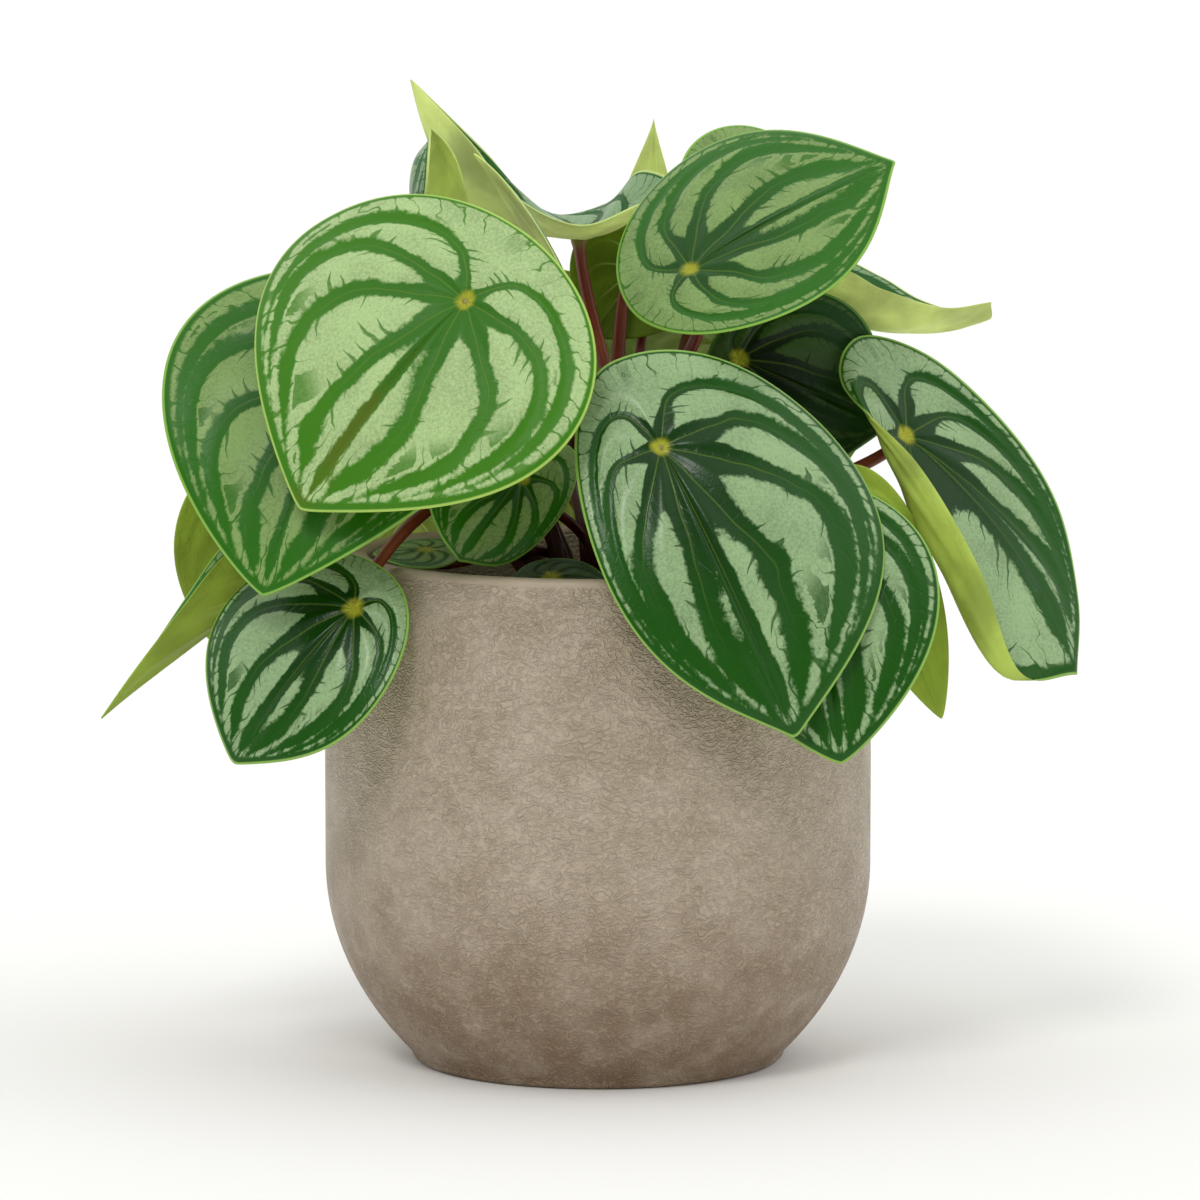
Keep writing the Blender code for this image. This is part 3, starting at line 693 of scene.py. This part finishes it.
def make_crumbs(material):
    """Crumbs of bark and soil that lie on the potting mix, as one piece."""
    rng = np.random.default_rng(7)
    bpy.ops.object.select_all(action="DESELECT")
    bpy.ops.mesh.primitive_ico_sphere_add(subdivisions=1, radius=1.0)
    seed = bpy.context.object
    shape = [corner.co.copy() for corner in seed.data.vertices]
    triangles = [tuple(face.vertices) for face in seed.data.polygons]
    bpy.data.objects.remove(seed)
    limit = pot_radius(SOIL_LEVEL) - POT_WALL - 4.0 * MM
    corners = []
    faces = []
    for _ in range(CRUMBS):
        radius = limit * math.sqrt(rng.uniform(0.1, 1.0))
        angle = rng.uniform(0.0, 2.0 * math.pi)
        x, y = radius * math.cos(angle), radius * math.sin(angle)
        size = rng.uniform(*CRUMB_SIZES)
        stretch = Vector(rng.uniform(0.6, 1.3, 3)) * size
        place = Vector((x, y, soil_height(x, y) + 0.3 * size))
        start = len(corners)
        for corner in shape:
            lump = 1.0 + 0.25 * rng.uniform(-1.0, 1.0)
            corners.append(place + Vector(c * s * lump for c, s in zip(corner, stretch)))
        faces += [tuple(start + index for index in triangle) for triangle in triangles]
    mesh = bpy.data.meshes.new("soil_crumbs")
    mesh.from_pydata(corners, [], faces)
    mesh.materials.append(material)
    crumbs = bpy.data.objects.new("soil_crumbs", mesh)
    bpy.context.collection.objects.link(crumbs)
    return crumbs


class Net:
    """The shader nodes of one tree, added by short calls that give back a new node's output."""

    def __init__(self, tree):
        self.tree = tree

    def add(self, kind, inputs, output=0, **settings):
        """Add a node, set its settings and feed its inputs with sockets or plain values."""
        node = self.tree.nodes.new("ShaderNode" + kind)
        for key, value in settings.items():
            setattr(node, key, value)
        for key, value in inputs.items():
            self.feed(node.inputs[key], value)
        return node.outputs[output]

    def feed(self, socket, value):
        """Link a socket to an output, or set its plain value."""
        if isinstance(value, bpy.types.NodeSocket):
            self.tree.links.new(value, socket)
        else:
            socket.default_value = value

    def math(self, operation, first, second=0.0, third=0.0):
        """One Math node."""
        return self.add("Math", {0: first, 1: second, 2: third}, operation=operation)

    def step(self, value, low, high):
        """Rises smoothly from 0 at low to 1 at high."""
        return self.add("MapRange", {"Value": value, "From Min": low, "From Max": high},
                        interpolation_type="SMOOTHSTEP")

    def fall(self, value, low, high):
        """Falls smoothly from 1 at low to 0 at high."""
        return self.math("SUBTRACT", 1.0, self.step(value, low, high))

    def chance(self, x, y, z):
        """A random number between 0 and 1 for each set of three numbers."""
        return self.add("TexWhiteNoise", {"Vector": self.vector(x, y, z)}, output="Value")

    def swing(self, place, scale, detail=2.0, rough=0.5):
        """Noise round 0 at a place."""
        return self.math("SUBTRACT", self.noise(place, scale, detail, rough), 0.5)

    def mix(self, factor, first, second):
        """Mix two colours."""
        return self.add("Mix", {0: factor, 6: first, 7: second}, output=2, data_type="RGBA")

    def vector(self, x, y, z):
        """Join three numbers to a vector."""
        return self.add("CombineXYZ", {0: x, 1: y, 2: z})

    def noise(self, place, scale, detail=2.0, rough=0.5):
        """Noise between 0 and 1 at a place."""
        return self.add("TexNoise", {"Vector": place, "Scale": scale, "Detail": detail, "Roughness": rough})

    def attribute(self, name):
        """A number stored on the mesh."""
        return self.add("Attribute", {}, output="Fac", attribute_name=name)

    def place(self):
        """Object coordinates."""
        return self.add("TexCoord", {}, output="Object")


def new_group(name, inputs, outputs):
    """An empty shader node group with its inner net, its inputs and its output node."""
    group = bpy.data.node_groups.new(name, "ShaderNodeTree")
    for key, value in inputs.items():
        socket = group.interface.new_socket(key, in_out="INPUT", socket_type="NodeSocketFloat")
        socket.default_value = value
    for key in outputs:
        group.interface.new_socket(key, in_out="OUTPUT", socket_type="NodeSocketFloat")
    net = Net(group)
    entry = group.nodes.new("NodeGroupInput")
    leave = group.nodes.new("NodeGroupOutput")
    return group, net, entry.outputs, leave.inputs


def place_group(net, group, inputs):
    """Put a group into a net and give back its outputs."""
    node = net.tree.nodes.new("ShaderNodeGroup")
    node.node_tree = group
    for key, value in inputs.items():
        net.feed(node.inputs[key], value)
    return node.outputs


def side_veins(net, gap, reach, nearest, band_chance, wobble, coarse):
    """Short veins that run from the dark bands into the silver ones and slant towards the tip."""
    ladder = net.math("MULTIPLY_ADD", gap, -SIDE_SLANT, net.math("MULTIPLY", reach, SIDE_VEINS))
    shift = net.math("ADD", net.math("MULTIPLY", band_chance, 5.0), net.math("MULTIPLY", wobble, 4.0))
    ladder = net.math("MULTIPLY_ADD", coarse, 0.5, net.math("ADD", ladder, shift))
    luck = net.chance(net.math("FLOOR", ladder), nearest, band_chance)
    beside = net.math("ABSOLUTE", net.math("SUBTRACT", net.math("FRACT", ladder), 0.5))
    length = net.math("MULTIPLY_ADD", net.math("POWER", luck, 2.0), SIDE_LENGTH_SPREAD, SIDE_LENGTH)
    taper = net.math("MULTIPLY", net.math("MAXIMUM", net.math("SUBTRACT", length, gap), 0.001), 0.95)
    thorn = net.fall(beside, net.math("MULTIPLY", taper, 0.4), taper)
    return net.math("MULTIPLY", thorn, net.fall(reach, *SIDE_ZONE))


def cross_veins(net, place, turn, reach, inset_share, excess, band, side):
    """Short veins that cut the silver near the margin and widen at both their ends."""
    tangled = net.math("MULTIPLY_ADD", net.swing(place, CROSS_WOBBLE_SCALE), CROSS_WOBBLE,
                       net.math("MULTIPLY", turn, CROSS_VEINS))
    beside = net.math("ABSOLUTE", net.math("SUBTRACT", net.math("FRACT", tangled), 0.5))
    luck = net.chance(net.math("FLOOR", tangled), band, side)
    middle = net.math("ADD", net.step(excess, 0.0, 0.03), net.step(inset_share, 0.035, 0.075))
    ends = net.math("SUBTRACT", 2.0, middle)
    breadth = net.math("MULTIPLY_ADD", ends, 0.12, net.math("MULTIPLY_ADD", luck, 0.1, -0.02))
    cut = net.fall(beside, net.math("MULTIPLY", breadth, 0.45), breadth)
    return net.math("MULTIPLY", cut, net.step(reach, *CROSS_ZONE))


def leaf_pattern():
    """Masks of the striped pattern: silver bands, vein lines, pale margin and heart, and the relief."""
    group, net, given, out = new_group(
        "striped leaf pattern", {"Seed": 0.0, "Opening": 0.0, "Band": 0.05},
        ("Silver", "Vein", "Margin", "Heart", "Fresh", "Tan", "Height"))
    place = net.place()
    turn = net.attribute("turn")
    reach = net.attribute("reach")
    side = net.attribute("side")
    inset = net.attribute("inset")
    outward = net.attribute("outward")
    radius = net.math("DIVIDE", outward, net.math("MAXIMUM", reach, 0.02))
    wobble = net.swing(place, WOBBLE_SCALE)
    coarse = net.swing(place, COARSE_SCALE)
    fine = net.swing(place, FINE_SCALE, 2.0, 0.7)

    # Count of the veins, and the distance from the nearest one as a share of the leaf's radius
    bend = net.math("MULTIPLY_ADD", net.math("POWER", reach, VEIN_BEND_POWER), -VEIN_BEND, 1.0)
    count = net.math("DIVIDE", net.math("MULTIPLY", turn, VEINS), bend)
    count = net.math("MULTIPLY_ADD", wobble, net.math("MULTIPLY", net.step(turn, 0.0, 0.15), WOBBLE), count)
    nearest = net.math("MINIMUM", net.math("ROUND", count), LAST_VEIN)
    gap = net.math("ABSOLUTE", net.math("SUBTRACT", count, nearest))
    band = net.math("FLOOR", net.math("MINIMUM", count, LAST_VEIN + 0.5))
    band_chance = net.chance(band, side, given["Seed"])
    distance = net.math("DIVIDE", net.math("MULTIPLY", gap, net.attribute("spacing")), radius)

    # The silver bands open some way from the heart and have frayed edges
    start = net.math("MULTIPLY_ADD", band_chance, OPENING_SPREAD, given["Opening"])
    opening = net.step(reach, start, net.math("ADD", start, OPENING_LENGTH))
    feather = net.math("MULTIPLY_ADD", coarse, 0.035, net.math("MULTIPLY", fine, 0.028))
    dark_width = net.math("MULTIPLY_ADD", opening, -HEART_WIDENING,
                          net.math("ADD", given["Band"], HEART_WIDENING))
    dark_width = net.math("MULTIPLY_ADD", net.step(reach, *MARGIN_ZONE), -MARGIN_NARROWING, dark_width)
    excess = net.math("SUBTRACT", net.math("ADD", distance, feather), dark_width)
    silver = net.step(excess, *BAND_EDGE)

    # Fine veins cut the silver, and a green rim ends it
    inset_share = net.math("DIVIDE", inset, net.math("MAXIMUM", radius, 1.0))
    line = net.math("MAXIMUM", side_veins(net, gap, reach, nearest, band_chance, wobble, coarse),
                    cross_veins(net, place, turn, reach, inset_share, excess, band, side))
    silver = net.math("MULTIPLY", silver, net.math("MULTIPLY_ADD", line, -LINE_DEPTH, 1.0))
    frayed = net.math("MULTIPLY_ADD", fine, 0.02, inset_share)
    silver = net.math("MULTIPLY", silver, net.step(frayed, *GREEN_RIM))

    margin = net.fall(inset, *PALE_MARGIN)
    vein = net.math("MULTIPLY", net.fall(net.math("MULTIPLY", distance, radius), *VEIN_LINE),
                    net.fall(reach, 0.25, 0.85))
    heart = net.fall(net.math("MULTIPLY_ADD", coarse, 3.0, outward), *HEART_SPOT)
    clouds = net.noise(place, CLOUD_SCALE, 3.0)
    fresh = net.math("MULTIPLY_ADD", net.math("SUBTRACT", clouds, 0.5), 0.5, net.step(reach, 0.2, 0.9))
    tan = net.math("MULTIPLY", net.step(clouds, 0.4, 0.62), net.fall(turn, 0.03, 0.13))
    tan = net.math("MULTIPLY", tan, net.step(reach, 0.12, 0.3))
    height = net.math("MULTIPLY_ADD", net.noise(place, GRAIN_SCALE), 0.25,
                      net.math("MULTIPLY", silver, 0.35))
    height = net.math("MULTIPLY_ADD", vein, -0.7, height)
    height = net.math("MULTIPLY_ADD", line, -0.25, height)
    for key, value in (("Silver", silver), ("Vein", vein), ("Margin", margin), ("Heart", heart),
                       ("Fresh", fresh), ("Tan", tan), ("Height", height)):
        net.feed(out[key], value)
    return group


def new_material(name):
    """A material, its net and its Principled shader."""
    material = bpy.data.materials.new(name)
    material.use_nodes = True
    return material, Net(material.node_tree), material.node_tree.nodes["Principled BSDF"].inputs


def bump(net, height, strength, distance):
    """A Bump node's normal."""
    return net.add("Bump", {"Height": height, "Strength": strength, "Distance": distance})


def leaf_material(name, pattern, finish, seed):
    """One leaf's material: its stripes above, its plain paler side underneath, with a painted glow where
    the finish gives one.
    """
    material, net, shader = new_material(name)
    marks = place_group(net, pattern, {"Seed": seed, "Opening": finish["opening"], "Band": finish["band"]})
    place = net.place()
    clouds = net.noise(place, 60.0, 3.0)
    speckle = net.noise(place, 1300.0, 3.0, 0.75)

    dark = net.mix(marks["Fresh"], shade(finish["dark"]), shade(finish["fresh"]))
    dark = net.mix(net.math("MULTIPLY", marks["Tan"], finish["tan"]), dark, shade(TAN_SHADE))
    mealy = net.math("MULTIPLY_ADD", clouds, 0.35, net.math("MULTIPLY", speckle, 0.65))
    silver = net.mix(net.step(mealy, 0.36, 0.6), darker(finish["silver"], 0.68), shade(finish["silver"]))
    above = net.mix(marks["Silver"], dark, silver)
    above = net.mix(net.math("MULTIPLY", marks["Vein"], 0.25), above, shade(VEIN_SHADE))
    above = net.mix(marks["Heart"], above, shade(HEART_SHADE))
    above = net.mix(marks["Margin"], above, shade(finish["edge"]))

    below = net.mix(net.step(clouds, 0.3, 0.7), shade(finish["under"]), darker(finish["under"], 0.62))
    below = net.mix(net.math("MULTIPLY", marks["Vein"], 0.5), below, shade(UNDER_VEIN_SHADE))
    under = net.attribute("under")
    lower_side = net.step(under, 0.2, 0.6)
    net.feed(shader["Base Color"], net.mix(lower_side, above, below))
    # The lower side's colour also feeds the emission, a painted glow that stands in for light shining
    # through; the finish sets its strength.
    net.feed(shader["Emission Color"], net.mix(lower_side, BLACK, below))
    rough = net.math("MULTIPLY_ADD", speckle, 0.14, finish["rough"])
    net.feed(shader["Roughness"], net.math("MULTIPLY_ADD", under, 0.2, rough))
    net.feed(shader["Normal"], bump(net, marks["Height"], 0.5, 0.3 * MM))
    shader["Emission Strength"].default_value = finish["glow"]
    shader["Specular IOR Level"].default_value = 0.25
    return material


def stalk_material():
    """Dark red stalks, brighter and browner towards the leaf, with a fine grain of bumps."""
    material, net, shader = new_material("stalk_red")
    place = net.place()
    along = net.attribute("along")
    clouds = net.noise(place, 90.0, 3.0)
    foot, middle, patches, end = map(shade, STALK_SHADES)
    # Darker towards the foot: partly the stalks' own deep red, partly painted shade deep in the crown.
    colour = net.mix(net.step(along, 0.15, 0.9), foot, middle)
    colour = net.mix(net.math("MULTIPLY", net.step(clouds, 0.45, 0.75), 0.6), colour, patches)
    colour = net.mix(net.step(along, 0.93, 1.0), colour, end)
    net.feed(shader["Base Color"], colour)
    net.feed(shader["Roughness"], net.math("MULTIPLY_ADD", clouds, 0.25, 0.25))
    net.feed(shader["Normal"], bump(net, net.noise(place, 900.0, 3.0), 0.25, 0.2 * MM))
    return material


def pot_material():
    """Matte taupe glaze with a fine relief of worm-like wrinkles, lighter on the ridges and darker in the
    hollows as painted highlight and painted shade, and browner in patches towards its foot.
    """
    material, net, shader = new_material("wrinkled_glaze")
    place = net.place()
    height = net.add("SeparateXYZ", {0: place}, output=2)
    warp = net.add("TexNoise", {"Vector": place, "Scale": 300.0, "Detail": 3.0}, output="Color")
    warp = net.add("VectorMath", {0: warp, 1: (0.5,) * 3}, operation="SUBTRACT")
    warp = net.add("VectorMath", {0: warp, 1: (WRINKLE_WARP,) * 3}, operation="MULTIPLY")
    bent = net.add("VectorMath", {0: place, 1: warp}, operation="ADD")
    bent = net.add("VectorMath", {0: bent, 1: (1.0, 1.0, WRINKLE_FLATNESS)}, operation="MULTIPLY")
    folds = net.noise(bent, WRINKLE_SCALE, 1.0)
    worms = net.math("SINE", net.math("MULTIPLY", folds, WRINKLE_WAVES))
    patches = net.noise(place, 75.0, 4.0, 0.6)
    lip = net.step(height, POT_HEIGHT - 2.2 * MM, POT_HEIGHT - 1.4 * MM)
    calm = net.math("MULTIPLY", net.math("MULTIPLY_ADD", patches, 0.8, 0.5), net.math("SUBTRACT", 1.0, lip))
    relief = net.math("MULTIPLY", worms, calm)

    pale, taupe, brown, ridge, hollow = map(shade, POT_SHADES)
    low = net.fall(height, 5.0 * MM, 70.0 * MM)
    colour = net.mix(net.step(patches, 0.25, 0.8), pale, taupe)
    colour = net.mix(net.math("MULTIPLY", low, net.step(patches, 0.0, 0.7)), colour, brown)
    # Ridges of the relief are painted lighter, a painted highlight, and its hollows darker, a painted
    # shade.
    colour = net.mix(net.math("MULTIPLY", net.step(relief, 0.0, 1.0), 0.16), colour, ridge)
    sunk = net.step(net.math("MULTIPLY", relief, -1.0), 0.0, 1.0)
    colour = net.mix(net.math("MULTIPLY", sunk, 0.16), colour, hollow)
    net.feed(shader["Base Color"], colour)
    net.feed(shader["Roughness"], net.math("MULTIPLY_ADD", patches, 0.2, 0.34))
    tall = net.math("MULTIPLY_ADD", net.noise(place, 2500.0), 0.25, relief)
    net.feed(shader["Normal"], bump(net, tall, 0.75, 0.26 * MM))
    return material


def earth_material(name, dry, wet):
    """Crumbly potting mix or bark: mottled, rough and pitted."""
    material, net, shader = new_material(name)
    place = net.place()
    clods = net.noise(place, 420.0, 5.0, 0.65)
    net.feed(shader["Base Color"], net.mix(net.step(clods, 0.35, 0.7), shade(wet), shade(dry)))
    net.feed(shader["Roughness"], net.math("MULTIPLY_ADD", clods, 0.2, 0.75))
    net.feed(shader["Normal"], bump(net, clods, 0.8, 0.9 * MM))
    return material


def matte_material(name, colour, roughness):
    """One even surface without any gloss."""
    material, _, shader = new_material(name)
    shader["Base Color"].default_value = colour
    shader["Roughness"].default_value = roughness
    shader["Specular IOR Level"].default_value = 0.0
    return material


def keep(piece, node):
    """Let a finished piece ride with the plant and stand for its CAD node."""
    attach(piece, "root")
    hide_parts(node)


def make_camera():
    """A long lens in front of the plant, level with its leaves and tilted slightly down."""
    data = bpy.data.cameras.new("camera")
    data.sensor_width = 36.0
    data.lens = 205.2
    data.shift_x = 0.0017
    camera = bpy.data.objects.new("camera", data)
    camera.location = (0.0, -1.8, 0.343)
    camera.rotation_euler = (math.radians(90.0 - 6.985), 0.0, 0.0)
    bpy.context.collection.objects.link(camera)
    bpy.context.scene.camera = camera


def make_sun(name, angle, energy, heading, colour):
    """A soft sun that shines from the direction of heading."""
    data = bpy.data.lights.new(name, "SUN")
    data.angle = math.radians(angle)
    data.energy = energy
    data.color = colour
    sun = bpy.data.objects.new(name, data)
    sun.rotation_euler = Vector(heading).to_track_quat("Z", "Y").to_euler()
    bpy.context.collection.objects.link(sun)


def make_studio():
    """A pale floor without an edge in view, a bright room, darker low in front, and two soft lights."""
    bpy.ops.object.select_all(action="DESELECT")
    bpy.ops.mesh.primitive_plane_add(size=60.0)
    floor = bpy.context.object
    floor.name = "studio_floor"
    floor.data.materials.append(matte_material("floor_paper", FLOOR_COLOUR, 0.9))
    world = bpy.data.worlds.new("studio")
    world.use_nodes = True
    sky = world.node_tree.nodes["Background"].inputs
    net = Net(world.node_tree)
    way = net.add("TexCoord", {}, output="Generated")
    depth = net.add("SeparateXYZ", {0: way}, output=1)
    height = net.add("SeparateXYZ", {0: way}, output=2)
    glow = net.step(net.math("MULTIPLY_ADD", depth, 0.5, height), 0.0, 0.75)
    net.feed(sky["Color"], net.mix(glow, ROOM_DARK, ROOM_BRIGHT))
    sky["Strength"].default_value = 1.05
    bpy.context.scene.world = world
    make_sun("key_light", 16.0, 0.8, (-0.25, -0.85, 0.95), (1.0, 0.99, 0.97))
    make_sun("side_light", 60.0, 0.3, (0.9, -0.3, 0.6), (0.97, 0.98, 1.0))
    bpy.context.scene.view_settings.view_transform = "Standard"


def build():
    """Dress every node of the plant and its pot."""
    make_camera()
    make_studio()
    keep(make_pot(pot_material()), "pot")
    keep(make_soil(earth_material("potting_mix", *EARTH_SHADES)), "soil")
    crumbs = make_crumbs(earth_material("bark_crumbs", *BARK_SHADES))
    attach(crumbs, "root")
    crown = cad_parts["crown"]
    crown.data.materials.clear()
    crown.data.materials.append(earth_material("crown_bark", *CROWN_SHADES))
    pattern = leaf_pattern()
    red = stalk_material()
    leaves = {name: SHIELD_DEFAULTS | leaf for name, leaf in SHIELDS.items()} | FOLDED
    seats = assign_seats(leaves)
    for index, (name, leaf) in enumerate(leaves.items()):
        finish = FINISH_DEFAULTS | FINISHES[LEAF_FINISH.get(name, "fresh")]
        skin = leaf_material("skin_" + name, pattern, finish, SEED_STEP * index)
        keep(make_blade("blade_" + name, leaf, skin), "leaf_" + name)
        size = SMALL_STALK if name in YOUNG_LEAVES else 1.0
        stalk = make_stalk("petiole_" + name, leaf, seats[name], BOWS.get(name, (0, 0, 0)), size, red)
        keep(stalk, "stalk_" + name)


build()
